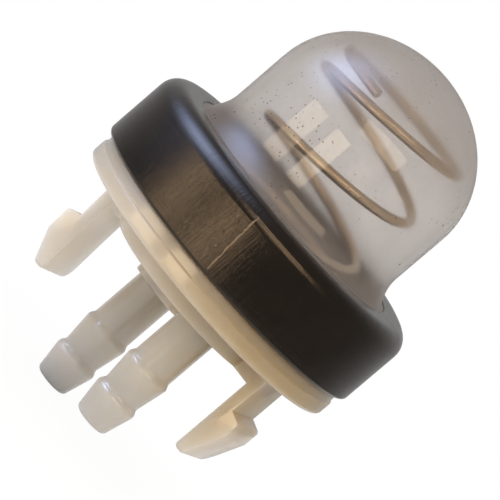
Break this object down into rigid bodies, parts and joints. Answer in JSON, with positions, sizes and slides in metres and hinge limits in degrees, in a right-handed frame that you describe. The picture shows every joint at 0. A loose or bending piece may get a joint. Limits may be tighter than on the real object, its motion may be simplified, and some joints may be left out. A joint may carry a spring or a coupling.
{
  "type": "primer bulb",
  "caption": "Snap-in fuel primer bulb: clear spring-backed dome under a black retaining ring, on a flanged base with hose nipples and snap legs.",
  "frame": {"origin": "on the dome's axis, at the underside of the base flange, which is the face that seats on the panel", "axes": "+Z along the dome's axis towards its crown, X through the two snap legs"},
  "size_m": [0.023, 0.023, 0.0329],
  "materials": {
    "natural_nylon": "satin, slightly translucent",
    "black_plastic": "satin gloss with fine scratches",
    "clear_plastic": "clear, smoky, glossy",
    "spring_steel": "drawn wire",
    "black_rubber": "matte"
  },
  "bodies": {
    "root": {"base_body": "natural_nylon", "retaining_ring": "black_plastic", "bulb_dome": "clear_plastic", "return_spring": "spring_steel", "check_valve": "black_rubber"}
  },
  "joints": []
}
